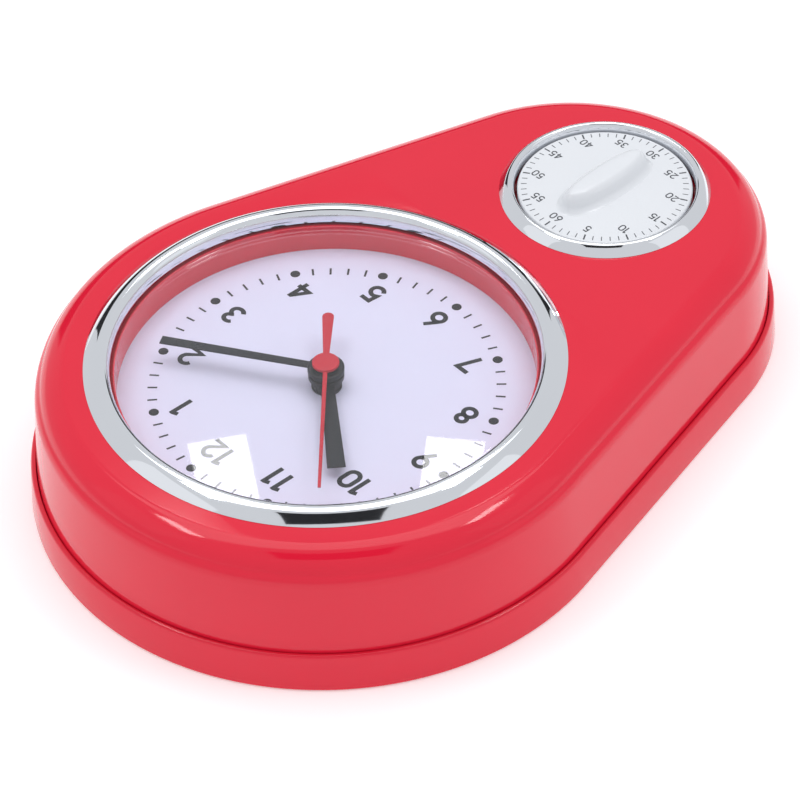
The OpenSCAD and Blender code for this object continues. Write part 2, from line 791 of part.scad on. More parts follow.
module timer_rear_plate() {
    color([0.74, 0.75, 0.77]) in_timer() timer_plate(rear_plate_z) {
        translate(bell_axis) rod(1, rear_plate_z - 1, rear_plate_z + 2);
        translate(hammer_axis) rod(timer_pivot + running_gap, rear_plate_z - 1, rear_plate_z + 2);
    }
}

module timer_pillars() {
    color([0.8, 0.7, 0.4]) for (p = pillar_places) in_timer(p)
        rod(1.8, rear_plate_z + plate_thickness, front_plate_z);
}

module timer_screws() {
    color([0.75, 0.76, 0.78]) for (p = timer_screw_places) in_timer(p) {
        rod(1.25, front_plate_z, pan_floor);
        rod(2.4, pan_floor, pan_floor + 1.1);
    }
}

// An arbor between the timer's plates, with a pivot in each
module timer_arbor_rod() {
    rod(timer_pivot, rear_plate_z + 0.1, rear_plate_z + plate_thickness + 0.1);
    rod(timer_arbor, rear_plate_z + plate_thickness + 0.1, front_plate_z - 0.1);
    rod(timer_pivot, front_plate_z - 0.1, front_plate_z + plate_thickness - 0.1);
}

module timer_second_wheel() {
    color([0.82, 0.68, 0.34]) in_timer(timer_second_axis) {
        timer_arbor_rod();
        gear(timer_second_pinion_teeth, main_module,
            [rear_plate_z + 13, rear_plate_z + 15], timer_second_turn);
        gear(timer_second_teeth, timer_second_module,
            [rear_plate_z + 10, rear_plate_z + 10.8], timer_second_turn);
    }
}

module timer_third_wheel() {
    color([0.82, 0.68, 0.34]) in_timer(timer_third_axis) {
        timer_arbor_rod();
        gear(timer_third_pinion_teeth, timer_second_module,
            [rear_plate_z + 9.4, rear_plate_z + 11.4], timer_third_turn);
        gear(timer_third_teeth, timer_third_module,
            [rear_plate_z + 6.8, rear_plate_z + 7.6], timer_third_turn);
    }
}

module escape_wheel() {
    tooth = 360 / escape_teeth;
    color([0.82, 0.68, 0.34]) in_timer(escape_axis) {
        timer_arbor_rod();
        gear(escape_pinion_teeth, timer_third_module,
            [rear_plate_z + 6.2, rear_plate_z + 8.2], escape_turn);
        translate([0, 0, rear_plate_z + 3.6]) linear_extrude(0.8)
            polygon([for (i = [0:escape_teeth - 1])
                for (corner = [[3.6, 0], [5, 0.1], [5, 0.25], [3.6, 0.8]])
                    polar(corner[0], (i + corner[1]) * tooth)]);
    }
}

// Verge with two pallet pins clear of the escape wheel's tips, and a weighted bar
module balance() {
    pin_reach = 6.25;
    pin_spread = 30;
    pallet_z = rear_plate_z + 4.6;
    color([0.8, 0.81, 0.83]) in_timer(balance_axis) {
        timer_arbor_rod();
        rotate([0, 0, escape_way]) {
            for (side = [-1, 1]) translate(polar(pin_reach, side * pin_spread) - [balance_gap, 0])
                rod(0.35, rear_plate_z + 3.2, pallet_z + 0.2);
            block([-2.4, -3.6, pallet_z], [-1.1, 3.6, pallet_z + 0.6]);
            block([-1.6, -0.8, pallet_z], [0.5, 0.8, pallet_z + 0.6]);
            block([-0.9, -6, rear_plate_z + 8], [0.9, 6, rear_plate_z + 9.2]);
        }
    }
}

module bell() {
    color([0.85, 0.7, 0.35]) in_timer(bell_axis) rotate_extrude()
        polygon([[1.05, 5.4], [8.5, 5.4], [12.2, 7.4], [bell_radius, 12], [bell_radius, 15.5],
            [bell_radius - 1, 15.5], [bell_radius - 1, 12.2], [11.5, 8.2], [8.2, 6.4], [1.05, 6.4]]);
}

module bell_screw() {
    color([0.75, 0.76, 0.78]) in_timer(bell_axis) {
        rod(2.2, 4, 5.4);
        rod(1, 5.4, 6.4);
        rod(1.8, 6.4, rear_plate_z);
        rod(0.95, rear_plate_z, rear_plate_z + plate_thickness);
    }
}

module hammer() {
    arm_z = rear_plate_z - 2.2;
    color([0.8, 0.81, 0.83]) in_timer(hammer_axis) {
        rod(timer_pivot, arm_z, rear_plate_z + plate_thickness);
        rod(1.4, rear_plate_z - 2.6, rear_plate_z - 0.2);
        rotate([0, 0, hammer_way]) {
            block([0, -0.9, arm_z], [hammer_reach, 0.9, arm_z + 0.8]);
            translate([hammer_reach, 0, 0]) rod(2.2, rear_plate_z - 9, rear_plate_z - 1);
        }
    }
}

front_housing();
back_cover();
housing_screws();
hanger_plate();
hanger_rivets();
clock_bezel();
timer_bezel();
lens();
dial_plate();
dial_screws();
hour_hand();
minute_hand();
second_hand();
mounting_nut();
nut_washer();
rubber_cushion();
centre_bushing();
movement_case();
movement_lid();
train_bridge();
circuit_board();
clock_chip();
quartz_crystal();
stator();
coil_bobbin();
coil_winding();
rotor();
intermediate_wheel();
second_wheel();
third_wheel();
centre_wheel();
cannon_pinion();
minute_wheel();
hour_wheel();
setting_knob();
battery();
positive_contact();
negative_contact();
timer_knob();
timer_shaft();
timer_main_wheel();
trip_cam();
mainspring();
timer_front_plate();
timer_rear_plate();
timer_pillars();
timer_screws();
timer_second_wheel();
timer_third_wheel();
escape_wheel();
balance();
bell();
bell_screw();
hammer();
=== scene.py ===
"""A red kitchen wall clock with a wind-up hour timer, lying on its back on a pale floor.

Lengths in this file are millimetres in the row frame unless a name says otherwise: +Z points out of
the dial, +Y at twelve, +X at three.
"""

import math

import bmesh
import bpy
from mathutils import Matrix, Vector
from mathutils.geometry import tessellate_polygon


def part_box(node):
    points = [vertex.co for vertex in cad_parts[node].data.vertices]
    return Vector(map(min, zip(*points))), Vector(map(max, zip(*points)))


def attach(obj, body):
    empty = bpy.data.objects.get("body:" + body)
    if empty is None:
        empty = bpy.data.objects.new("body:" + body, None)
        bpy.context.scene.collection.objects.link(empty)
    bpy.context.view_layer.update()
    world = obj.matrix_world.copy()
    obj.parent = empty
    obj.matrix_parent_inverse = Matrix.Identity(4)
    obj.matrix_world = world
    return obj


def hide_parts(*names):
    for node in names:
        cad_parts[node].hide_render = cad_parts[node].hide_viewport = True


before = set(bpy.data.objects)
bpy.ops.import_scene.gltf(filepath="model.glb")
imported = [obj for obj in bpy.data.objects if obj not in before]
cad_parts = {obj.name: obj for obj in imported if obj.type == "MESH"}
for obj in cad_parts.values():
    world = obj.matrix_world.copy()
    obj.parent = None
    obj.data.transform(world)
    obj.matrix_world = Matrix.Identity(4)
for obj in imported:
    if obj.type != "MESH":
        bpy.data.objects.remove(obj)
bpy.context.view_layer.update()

METRE = 0.001
FACET_ANGLE = math.radians(32)
PRINT_DEPTH = 0.03


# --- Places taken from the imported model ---
def node_box(name):
    """A node's lowest and highest corners in millimetres."""
    low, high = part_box(name)
    return low / METRE, high / METRE


def middle(name):
    """The centre of a node's box, seen from the front."""
    low, high = node_box(name)
    return Vector(((low.x + high.x) / 2, (low.y + high.y) / 2))


cover_low, cover_high = node_box("back_cover")
_, shell_high = node_box("front_housing")
lens_low, lens_high = node_box("lens")
dial_low, dial_high = node_box("dial_plate")
ring_low, ring_high = node_box("clock_bezel")
knob_low, knob_high = node_box("timer_knob")

clock = middle("lens")
timer = middle("timer_bezel")
big_radius = cover_high.x
small_radius = 61.8  # of the outline, round the timer
small_end = Vector((0, cover_low.y + small_radius))
taper = big_radius - small_radius
lean = math.asin(taper / (clock.y - small_end.y))

rim_height = cover_high.z
shell_radius = shell_high.x
face_height = shell_high.z
shoulder_radius = big_radius - 4
shoulder_height = face_height - 7.65
flat_radius = big_radius - 12.2
wall = 2.4
floor_thickness = 2.0
housing_foot = floor_thickness + 0.2
well_radius = (ring_high.x - ring_low.x) / 2 - 8.75
dial_height = dial_high.z
lens_seat = lens_low.z
seat_radius = (lens_high.x - lens_low.x) / 2 + 0.15
pan_floor = face_height - 4.45
knob_radius = (knob_high.y - knob_low.y) / 2
pan_radius = knob_radius + 1.8
knob_rim = knob_high.z - 6.2
screw_places = [
    Vector((0, clock.y)) + 74 * Vector((math.cos(a), math.sin(a)))
    for a in map(math.radians, (40, 140))
] + [
    small_end + 50 * Vector((math.cos(a), math.sin(a)))
    for a in map(math.radians, (225, 315))
]

hour_turn, minute_turn, second_turn, knob_turn = map(math.radians, (-306.4, -56.8, -312.7, 2))


# --- Building meshes ---
class Shape:
    """Points and faces of one piece, in millimetres; flat holds the faces that stay unsmoothed."""

    def __init__(self):
        self.points, self.faces, self.flat = [], [], set()

    def ring(self, points):
        """Adds points and returns their indices."""
        start = len(self.points)
        self.points += [Vector(p) for p in points]
        return list(range(start, len(self.points)))

    def face(self, corners, flat=False):
        if flat:
            self.flat.add(len(self.faces))
        self.faces.append(list(corners))

    def bridge(self, a, b):
        """Quads between two closed rings, or a fan where one of them is a single point."""
        n = max(len(a), len(b))
        for i in range(n):
            j = (i + 1) % n
            corners = [a[i % len(a)], a[j % len(a)], b[j % len(b)], b[i % len(b)]]
            self.face(dict.fromkeys(corners))

    def skin(self, rings, closed=False):
        """Bridges each ring to the next, and the last to the first where closed."""
        pairs = list(zip(rings, rings[1:])) + ([(rings[-1], rings[0])] if closed else [])
        for a, b in pairs:
            self.bridge(a, b)

    def cap(self, *rings):
        """A level face inside the first ring with the others cut out of it."""
        loops = [[self.points[i] for i in ring] for ring in rings]
        index = [i for ring in rings for i in ring]
        for triangle in tessellate_polygon(loops):
            self.face([index[i] for i in triangle], flat=True)


def circle(centre, radius, z, count=96):
    """Points of a level circle."""
    if radius < 1e-6:
        return [(centre[0], centre[1], z)]
    turns = [2 * math.pi * i / count for i in range(count)]
    return [(centre[0] + radius * math.cos(t), centre[1] + radius * math.sin(t), z) for t in turns]


def lathe(shape, centre, profile, count=192, closed=True):
    """A profile of (radius, height) turned about a vertical axis."""
    rings = [shape.ring(circle(centre, r, z, count)) for r, z in profile]
    shape.skin(rings, closed)
    return rings


def stations(big=168, side=14, small=112):
    """(direction, share of the way to the small end) round the outline."""
    around = [(-lean + (math.pi + 2 * lean) * i / big, 0.0) for i in range(big)]
    around += [(math.pi + lean, i / side) for i in range(side)]
    around += [(math.pi + lean + (math.pi - 2 * lean) * i / small, 1.0) for i in range(small)]
    return around + [(2 * math.pi - lean, 1 - i / side) for i in range(side)]


def outline(radius, z):
    """The outline's points at a radius of the large end."""
    found = []
    for direction, share in stations():
        centre = clock.lerp(small_end, share)
        reach = radius - taper * share
        found.append((centre.x + reach * math.cos(direction), centre.y + reach * math.sin(direction), z))
    return found


def sweep(shape, profile):
    """A profile of (radius at the large end, height) carried round the outline."""
    rings = [shape.ring(outline(r, z)) for r, z in profile]
    shape.skin(rings)
    return rings


def curve(a, b, c, steps=12):
    """Points of a quadratic curve from a to c, pulled towards b."""
    a, b, c = Vector(a), Vector(b), Vector(c)
    shares = [i / steps for i in range(steps + 1)]
    return [tuple((1 - t) ** 2 * a + 2 * t * (1 - t) * b + t * t * c) for t in shares]


def rounded(corners, steps=5):
    """A line through (x, z, corner radius) with each corner rounded off."""
    line = []
    for i, (x, z, radius) in enumerate(corners):
        here = Vector((x, z))
        if radius <= 0 or i in (0, len(corners) - 1):
            line.append((x, z))
            continue
        before = Vector(corners[i - 1][:2]) - here
        after = Vector(corners[i + 1][:2]) - here
        reach = radius / math.tan(before.angle(after) / 2)
        reach = min(reach, 0.49 * before.length, 0.49 * after.length)
        line += curve(here + reach * before.normalized(), here, here + reach * after.normalized(), steps)
    return line


def smooth_line(corners, steps=8):
    """A smooth line through points of any size."""
    pts = [Vector(p) for p in corners]
    pts = [2 * pts[0] - pts[1]] + pts + [2 * pts[-1] - pts[-2]]
    line = []
    for a, b, c, d in zip(pts, pts[1:], pts[2:], pts[3:]):
        for i in range(steps):
            t = i / steps
            line.append(0.5 * (2 * b + t * (c - a) + t * t * (2 * a - 5 * b + 4 * c - d)
                               + t ** 3 * (3 * b - 3 * c + d - a)))
    return line + [pts[-2]]


def prism(shape, corners, low, high, edge=0.1):
    """A plate with the given convex outline and a small chamfer round its top and bottom."""
    pts = [Vector(c) for c in corners]
    centre = sum(pts, Vector((0, 0))) / len(pts)

    def ring(inset, z):
        moved = []
        for a, p, b in zip(pts[-1:] + pts[:-1], pts, pts[1:] + pts[:1]):
            n1, n2 = (p - a).orthogonal().normalized(), (b - p).orthogonal().normalized()
            n = (n1 + n2) / (1 + n1.dot(n2))
            way = n if n.dot(centre - p) > 0 else -n
            moved.append((p.x + way.x * inset, p.y + way.y * inset, z))
        return shape.ring(moved)

    rings = [ring(edge, low), ring(0, low + edge), ring(0, high - edge), ring(edge, high)]
    shape.skin(rings)
    shape.cap(rings[0])
    shape.cap(rings[-1])


def turned(corners, angle, centre):
    """Points turned about the origin and then moved to a centre."""
    c, s = math.cos(angle), math.sin(angle)
    return [(centre[0] + c * x - s * y, centre[1] + s * x + c * y) for x, y in corners]


def stroke(shape, line, width, place, closed=False):
    """A printed stroke of even width along a line; place puts a flat point on the printed surface."""
    pts = [Vector(p) for p in line]
    sides = []
    for i, p in enumerate(pts):
        before = pts[i - 1] if i or closed else 2 * p - pts[i + 1]
        after = pts[(i + 1) % len(pts)] if i + 1 < len(pts) or closed else 2 * p - pts[i - 1]
        n1 = Vector((before.y - p.y, p.x - before.x)).normalized()
        n2 = Vector((p.y - after.y, after.x - p.x)).normalized()
        n = (n1 + n2) / max(0.4, 1 + n1.dot(n2)) * width / 2
        sides.append((p + n, p - n))
    rings = []
    for left, right in sides:
        (lx, ly, lz), (rx, ry, rz) = place(left), place(right)
        rings.append(shape.ring([(lx, ly, lz), (rx, ry, rz),
                                 (rx, ry, rz + PRINT_DEPTH), (lx, ly, lz + PRINT_DEPTH)]))
    shape.skin(rings, closed)
    if not closed:
        shape.face(rings[0], flat=True)
        shape.face(rings[-1][::-1], flat=True)


def piece(name, shape, body, slot, material, *replaced, smooth=True):
    """Makes the mesh object, fixes it to its body and hides the nodes it stands in for."""
    mesh = bpy.data.meshes.new(name)
    mesh.from_pydata([tuple(p * METRE) for p in shape.points], [], shape.faces)
    mesh.materials.append(material)
    bm = bmesh.new()
    bm.from_mesh(mesh)
    bmesh.ops.recalc_face_normals(bm, faces=bm.faces)
    for face in bm.faces:
        face.smooth = smooth and face.index not in shape.flat
    bm.to_mesh(mesh)
    bm.free()
    mesh.set_sharp_from_angle(angle=FACET_ANGLE)
    made = bpy.data.objects.new(name, mesh)
    bpy.context.scene.collection.objects.link(made)
    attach(made, body)
    if replaced:
        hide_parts(*replaced)
    return made


# --- Finishes ---
def linear(red, green, blue):
    """A colour given as display values out of 255."""
    def one(v):
        v /= 255
        return v / 12.92 if v <= 0.04045 else ((v + 0.055) / 1.055) ** 2.4
    return one(red), one(green), one(blue), 1.0


def finish(name, colour, roughness, metallic=0.0, grain=700.0, mottle=0.06, spread=0.08, bump=0.03,
           stretch=(1, 1, 1), scuffs=0.0, **sockets):
    """A surface with fine grain, slow colour and gloss variation, and worn patches where scuffs is set."""
    material = bpy.data.materials.new(name)
    material.use_nodes = True
    nodes, links = material.node_tree.nodes, material.node_tree.links
    shader = nodes["Principled BSDF"]
    shader.inputs["Metallic"].default_value = metallic
    for socket, value in sockets.items():
        shader.inputs[socket.replace("_", " ")].default_value = value

    place = nodes.new("ShaderNodeTexCoord")
    spin = nodes.new("ShaderNodeMapping")
    spin.inputs["Scale"].default_value = stretch
    links.new(place.outputs["Object"], spin.inputs["Vector"])
    fine = nodes.new("ShaderNodeTexNoise")
    fine.inputs["Scale"].default_value = grain
    fine.inputs["Detail"].default_value = 4
    slow = nodes.new("ShaderNodeTexNoise")
    slow.inputs["Scale"].default_value = grain / 24
    slow.inputs["Detail"].default_value = 2
    for noise in (fine, slow):
        links.new(spin.outputs["Vector"], noise.inputs["Vector"])

    tone = nodes.new("ShaderNodeMix")
    tone.data_type = "RGBA"
    dark, light = ([c * (1 + s * mottle) for c in colour[:3]] + [1] for s in (-1, 1))
    tone.inputs["A"].default_value = dark
    tone.inputs["B"].default_value = [min(c, 1) for c in light]
    links.new(slow.outputs["Fac"], tone.inputs["Factor"])
    links.new(tone.outputs["Result"], shader.inputs["Base Color"])

    gloss = nodes.new("ShaderNodeMapRange")
    gloss.inputs["From Min"].default_value = 0.3
    gloss.inputs["From Max"].default_value = 0.7
    gloss.inputs["To Min"].default_value = max(0.0, roughness * (1 - spread))
    gloss.inputs["To Max"].default_value = roughness * (1 + spread) + scuffs
    links.new(slow.outputs["Fac"], gloss.inputs["Value"])
    links.new(gloss.outputs["Result"], shader.inputs["Roughness"])

    relief = nodes.new("ShaderNodeBump")
    relief.inputs["Strength"].default_value = bump
    relief.inputs["Distance"].default_value = 0.0002
    links.new(fine.outputs["Fac"], relief.inputs["Height"])
    links.new(relief.outputs["Normal"], shader.inputs["Normal"])
    return material


def clear_sheet(name):
    """Clear plastic that lets light straight through to what lies behind it."""
    material = finish(name, (0.97, 0.98, 1.0, 1.0), 0.015, grain=300, mottle=0.0, spread=0.3, bump=0.0015,
                      Transmission_Weight=1.0, IOR=1.47)
    nodes, links = material.node_tree.nodes, material.node_tree.links
    out = nodes["Material Output"]
    path = nodes.new("ShaderNodeLightPath")
    open_air = nodes.new("ShaderNodeBsdfTransparent")
    mix = nodes.new("ShaderNodeMixShader")
    links.new(path.outputs["Is Shadow Ray"], mix.inputs["Fac"])
    links.new(nodes["Principled BSDF"].outputs["BSDF"], mix.inputs[1])
    links.new(open_air.outputs["BSDF"], mix.inputs[2])
    links.new(mix.outputs["Shader"], out.inputs["Surface"])
    return material


RED = finish("red_plastic", linear(225, 30, 56), 0.1, grain=900, mottle=0.03, spread=0.2, bump=0.01,
             Specular_IOR_Level=0.42)
CHROME = finish("chrome", linear(232, 234, 238), 0.05, 1.0, grain=500, mottle=0.02, spread=0.4, bump=0.004)
LENS = clear_sheet("clear_lens")
DIAL = finish("dial_paper", linear(211, 209, 230), 0.55, grain=1500, mottle=0.012, bump=0.04)
INK = finish("print_ink", linear(10, 10, 14), 0.5, grain=2200, mottle=0.1, bump=0.08, Specular_IOR_Level=0.25)
KNOB_INK = finish("knob_ink", linear(70, 72, 78), 0.45, grain=2200, mottle=0.1, bump=0.08)
HAND = finish("hand_black", linear(12, 12, 20), 0.3, grain=1400, mottle=0.1, spread=0.2, bump=0.05,
              Specular_IOR_Level=0.3)
HAND_RED = finish("hand_red", linear(188, 10, 38), 0.25, grain=1400, mottle=0.06, bump=0.03,
                  Specular_IOR_Level=0.3)
KNOB = finish("knob_white", linear(226, 228, 232), 0.2, grain=900, mottle=0.01, spread=0.15, bump=0.01)
BLACK = finish("movement_black", linear(32, 32, 35), 0.42, grain=1600, mottle=0.15, spread=0.2, bump=0.12)
BRASS = finish("brass", linear(214, 176, 96), 0.28, 1.0, grain=900, mottle=0.08, spread=0.3, bump=0.06,
               scuffs=0.08)
STEEL = finish("steel", linear(190, 192, 196), 0.3, 1.0, grain=900, mottle=0.07, spread=0.3, bump=0.07,
               stretch=(1, 6, 1), scuffs=0.08)
SPRING = finish("spring_steel", linear(120, 126, 138), 0.3, 1.0, grain=1200, mottle=0.1, spread=0.3, bump=0.05)
RUBBER = finish("rubber", linear(24, 24, 25), 0.8, grain=2400, mottle=0.12, bump=0.25)
GEAR = finish("gear_plastic", linear(228, 226, 214), 0.38, grain=1500, mottle=0.03, bump=0.04,
              Subsurface_Weight=0.05)
BOARD = finish("circuit_green", linear(26, 92, 52), 0.4, grain=1100, mottle=0.18, bump=0.1)
COPPER = finish("copper", linear(196, 112, 66), 0.32, 1.0, grain=900, mottle=0.12, spread=0.3, bump=0.15,
                stretch=(14, 1, 1))
WRAP = finish("battery_wrap", linear(46, 92, 150), 0.3, grain=900, mottle=0.05, spread=0.2, bump=0.03)
WRAP_BAND = finish("battery_band", linear(206, 208, 212), 0.3, grain=900, mottle=0.04, spread=0.2, bump=0.03)

SLOT_FINISH = {
    "red_plastic": RED, "chrome": CHROME, "clear_lens": LENS, "dial_white": DIAL, "hand_black": HAND,
    "hand_red": HAND_RED, "movement_black": BLACK, "brass": BRASS, "steel": STEEL, "rubber": RUBBER,
    "gear_plastic": GEAR, "circuit_green": BOARD, "copper": COPPER, "spring_steel": SPRING,
    "battery_wrap": WRAP, "knob_white": KNOB,
}


def finish_nodes():
    """Every carried-over node gets the finish of its own material slot."""
    for name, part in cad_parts.items():
        for held in part.material_slots:
            key = held.material.name.split(".")[0]
            held.material = BLACK if name == "nut_washer" else SLOT_FINISH.get(key, STEEL)


# --- Housing ---
def make_housing():
    """The front shell with the dial's well, the lens seat, the timer's pan and the screw bosses."""
    corner = Vector((shoulder_radius, shoulder_height))
    edge = Vector((flat_radius, face_height))
    pull = (corner + edge) / 2 + Vector((1.4, 1.6))
    crease = 0.9
    slope_in = (edge - pull).normalized()
    outside = rounded([(shell_radius - 0.6, housing_foot, 0), (shell_radius, housing_foot, 0.5),
                       (shell_radius, rim_height, 0)], 4)
    outside += curve(corner + Vector((0.16, -1.8)), corner + Vector((0.05, 0.35)),
                     corner + Vector((-1.1, 1.5)), 10)
    outside += curve(corner + Vector((-1.6, 2)), pull, edge - slope_in * crease, 14)
    outside += curve(edge - slope_in * crease, edge, edge - Vector((crease, 0)), 6)[1:]
    inside = [(flat_radius - 1, face_height - wall), (shoulder_radius - wall - 0.2, shoulder_height - 0.4),
              (shell_radius - wall, rim_height), (shell_radius - wall, housing_foot)]
    shape = Shape()
    skin = sweep(shape, outside)
    lining = sweep(shape, inside)
    shape.bridge(lining[-1], skin[0])

    well = [(seat_radius + 0.35, face_height), (seat_radius + 0.1, face_height - 0.1),
            (seat_radius, face_height - 0.35), (seat_radius, lens_seat),
            (well_radius + 0.2, lens_seat), (well_radius, lens_seat - 0.2),
            (well_radius, dial_height + 0.01), (well_radius + 4.6, dial_height + 0.01),
            (well_radius + 4.6, face_height - wall)]
    well = lathe(shape, clock, well, 192, closed=False)
    pan = rounded([(pan_radius + 0.3, face_height, 0), (pan_radius, face_height - 0.3, 0.2),
                   (pan_radius, pan_floor, 0.4), (pan_radius - 2, pan_floor, 0)], 4)
    pan = lathe(shape, timer, pan, 128, closed=False)
    pan_outside = pan_radius + wall
    pan_back = lathe(shape, timer, [(pan_outside, pan_floor - 2), (pan_outside, face_height - wall)],
                     128, closed=False)
    shape.cap(skin[-1], well[0], pan[0])
    shape.cap(lining[0], well[-1], pan_back[-1])
    bores = [(timer, 6)] + [(timer + Vector((x, 4)), 1.4) for x in (-16, 16)]
    bores = [lathe(shape, c, [(r, pan_floor), (r, pan_floor - 2)], 48, closed=False) for c, r in bores]
    shape.cap(pan[-1], *(b[0] for b in bores))
    shape.cap(pan_back[0], *(b[1] for b in bores))
    boss_top = shoulder_height + 3.4
    for place in screw_places:
        lathe(shape, place, [(1.3, 8), (3.8, 8), (4, 8.2), (4, boss_top), (1.3, boss_top)], 40)
    piece("housing_shell", shape, "housing", "red_plastic", RED, "front_housing")


def rounded_square(half, corner, z, centre, steps=8):
    """Points of a level square with rounded corners."""
    found = []
    for k in range(4):
        for i in range(steps + 1):
            t = math.pi / 2 * (k + i / steps)
            cx = (half[0] - corner) * (1 if k in (0, 3) else -1)
            cy = (half[1] - corner) * (1 if k in (0, 1) else -1)
            found.append((centre[0] + cx + corner * math.cos(t), centre[1] + cy + corner * math.sin(t), z))
    return found


def opening(shape, half, corner, centre, low, high, ease=0.3):
    """The wall of a rounded opening through the cover, eased at both edges; returns its two end rings."""
    levels = [(ease, low), (0, low + ease), (0, high - ease), (ease, high)]
    rings = [shape.ring(rounded_square((half[0] + e, half[1] + e), corner + e, z, centre)) for e, z in levels]
    shape.skin(rings)
    return rings[0], rings[-1]


def make_cover():
    """The back cover with its rolled rim, movement opening, hanger window and screw posts."""
    lip = shell_radius + 0.2
    rim = rounded([(lip - 3, 0, 0), (big_radius, 0, 0.7), (big_radius - 0.65, rim_height - 1.75, 0),
                   (big_radius - 0.75, rim_height - 1.2, 0)], 5)
    rim += curve((big_radius - 0.75, rim_height - 1.2), (big_radius - 0.8, rim_height),
                 (lip + 0.3, rim_height), 10)[1:]
    rim += [(lip + 0.08, rim_height - 0.03), (lip, rim_height - 0.15), (lip, floor_thickness + 0.4),
            (lip - 0.4, floor_thickness)]
    shape = Shape()
    skin = sweep(shape, rim)
    access = opening(shape, (32, 32), 2.5, clock, 0, floor_thickness)
    window = opening(shape, (9, 11), 1.2, (0, clock.y + 64), 0, floor_thickness)
    heads, posts = [], []
    for place in screw_places:
        profile = [(3.4, 0), (3.2, 0.2), (3.2, 3.6), (1.6, 3.6), (1.6, 7.9), (4.8, 7.9), (5, 7.7),
                   (5, floor_thickness)]
        rings = lathe(shape, place, profile, 40, closed=False)
        heads.append(rings[0])
        posts.append(rings[-1])
    shape.cap(skin[0], access[0], window[0], *heads)
    shape.cap(skin[-1], access[1], window[1], *posts)
    piece("cover_shell", shape, "housing", "red_plastic", RED, "back_cover")


def make_ring(name, node, centre, outer, inner, flange, flange_z):
    """A rounded chromed ring, gentler outside than inside, whose flange drops into the housing."""
    width, top = outer - inner, face_height + 3
    profile = [(flange, face_height), (outer - 0.1, face_height)]
    profile += curve((outer, face_height + 0.1), (outer - 0.45 * width, top), (inner + 0.36 * width, top), 22)
    profile += curve((inner + 0.3 * width, top - 0.01), (inner + 0.03 * width, top - 0.2),
                     (inner, flange_z + 0.9), 16)
    profile += [(inner, flange_z + 0.1), (inner + 0.1, flange_z),
                (flange - 0.1, flange_z), (flange, flange_z + 0.1)]
    shape = Shape()
    lathe(shape, centre, profile, 256)
    piece(name, shape, "housing", "chrome", CHROME, node)


def make_lens():
    """A slightly domed clear sheet with a level rim."""
    rim, edge, thickness = seat_radius - 0.15, well_radius + 0.4, 1.3
    rise = lens_high.z - lens_low.z - thickness
    crown = lens_seat + rise
    under = [(rim, lens_seat)] + curve((edge, lens_seat), (edge / 2, crown), (0, crown), 40)
    over = [(r, z + thickness) for r, z in reversed(under)]
    shape = Shape()
    lathe(shape, clock, under + over, 192)
    piece("lens_disc", shape, "housing", "clear_lens", LENS, "lens")


# --- Dial and its print ---
def arc(centre, across, up, start, end, steps=14):
    """Points of part of an ellipse, in degrees."""
    turns = [math.radians(start + (end - start) * i / steps) for i in range(steps + 1)]
    return [(centre[0] + across * math.cos(t), centre[1] + up * math.sin(t)) for t in turns]


def numeral_strokes(character):
    """(line, closed) strokes of a numeral about 7.7 tall and 5.2 wide, round its middle."""
    six = [(arc((0, -1.35), 1.95, 1.85, 0, 360, 28)[:-1], True),
           ([(1.15, 3.85), (-0.2, 1.9), (-1.72, -0.45)], False)]
    return {
        "0": [(arc((0, 1.25), 1.95, 1.95, 0, 180) + arc((0, -1.25), 1.95, 1.95, 180, 360), True)],
        "1": [([(-1.3, 2.55), (0.2, 3.2), (0.5, 3.2), (0.5, -3.85)], False)],
        "2": [(arc((0, 1.25), 1.9, 1.95, 168, -42) + [(-1.75, -3.2), (2.5, -3.2)], False)],
        "3": [(arc((-0.1, 1.7), 1.7, 1.5, 155, -90) + arc((-0.1, -1.5), 1.95, 1.7, 90, -155)[1:], False)],
        "4": [([(1.05, -3.85), (1.05, 3.7)], False), ([(0.95, 3.3), (-2.0, -1.6), (2.55, -1.6)], False)],
        "5": [([(2.0, 3.2), (-1.3, 3.2), (-1.55, 0.1)] + arc((-0.1, -1.25), 2.0, 1.95, 128, -155)[1:], False)],
        "6": six,
        "7": [([(-2.35, 3.2), (1.9, 3.2), (-0.85, -3.85)], False)],
        "8": [(arc((0, 1.75), 1.6, 1.45, 0, 360, 24)[:-1], True),
              (arc((0, -1.45), 1.92, 1.75, 0, 360, 28)[:-1], True)],
        "9": [([(-x, -y) for x, y in line], closed) for line, closed in six],
    }[character]


def write_number(shape, text, height, place, weight=1.42):
    """A number centred on the origin of the given place."""
    spans = [(-1.45, 1.15) if c == "1" else (-2.6, 2.6) for c in text]
    gap = 1.5 if text == "11" else 0.8
    width = sum(b - a for a, b in spans) + gap * (len(text) - 1)
    scale, left = height / 7.7, -width / 2
    for character, (a, b) in zip(text, spans):
        for line, closed in numeral_strokes(character):
            moved = [((x - a + left) * scale, y * scale) for x, y in line]
            stroke(shape, moved, weight * scale, place, closed)
        left += b - a + gap


def make_disc(ink, centre, radius, low):
    """A printed dot."""
    rings = lathe(ink, centre, [(radius, low), (radius, low + PRINT_DEPTH)], 32, closed=False)
    for ring in rings:
        ink.cap(ring)


